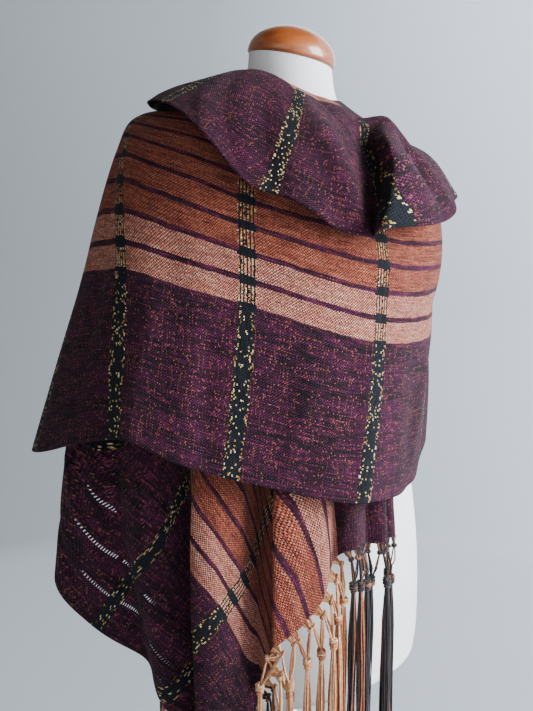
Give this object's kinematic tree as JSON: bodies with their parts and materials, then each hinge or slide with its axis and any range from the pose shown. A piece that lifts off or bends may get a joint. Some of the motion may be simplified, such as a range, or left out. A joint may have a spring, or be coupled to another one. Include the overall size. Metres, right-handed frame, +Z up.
{
  "type": "shawl on dress form",
  "caption": "Handwoven striped shawl wound round the shoulders of a limbless dress form, with a folded collar and knotted fringe, on a round-based stand.",
  "frame": {"origin": "centre of the base's underside, on the form's vertical axis", "axes": "+Z up, -Y the way the form faces, -X the form's right shoulder"},
  "size_m": [0.466, 0.4584, 1.1893],
  "materials": {
    "cloth": "handwoven wool, matt with a faint nap",
    "fringe_tan": "knotted yarn",
    "fringe_dark": "knotted yarn",
    "form_jersey": "stretched jersey",
    "cap_wood": "varnished",
    "stand_steel": "satin"
  },
  "bodies": {
    "root": {"main_panel": "cloth", "back_wrap": "cloth", "collar": "cloth", "under_end": "cloth", "fringe_front_tan": "fringe_tan", "fringe_front_dark": "fringe_dark", "fringe_back": "fringe_tan", "form_torso": "form_jersey", "form_cap": "cap_wood", "stand_pole": "stand_steel", "stand_base": "stand_steel"}
  },
  "joints": []
}
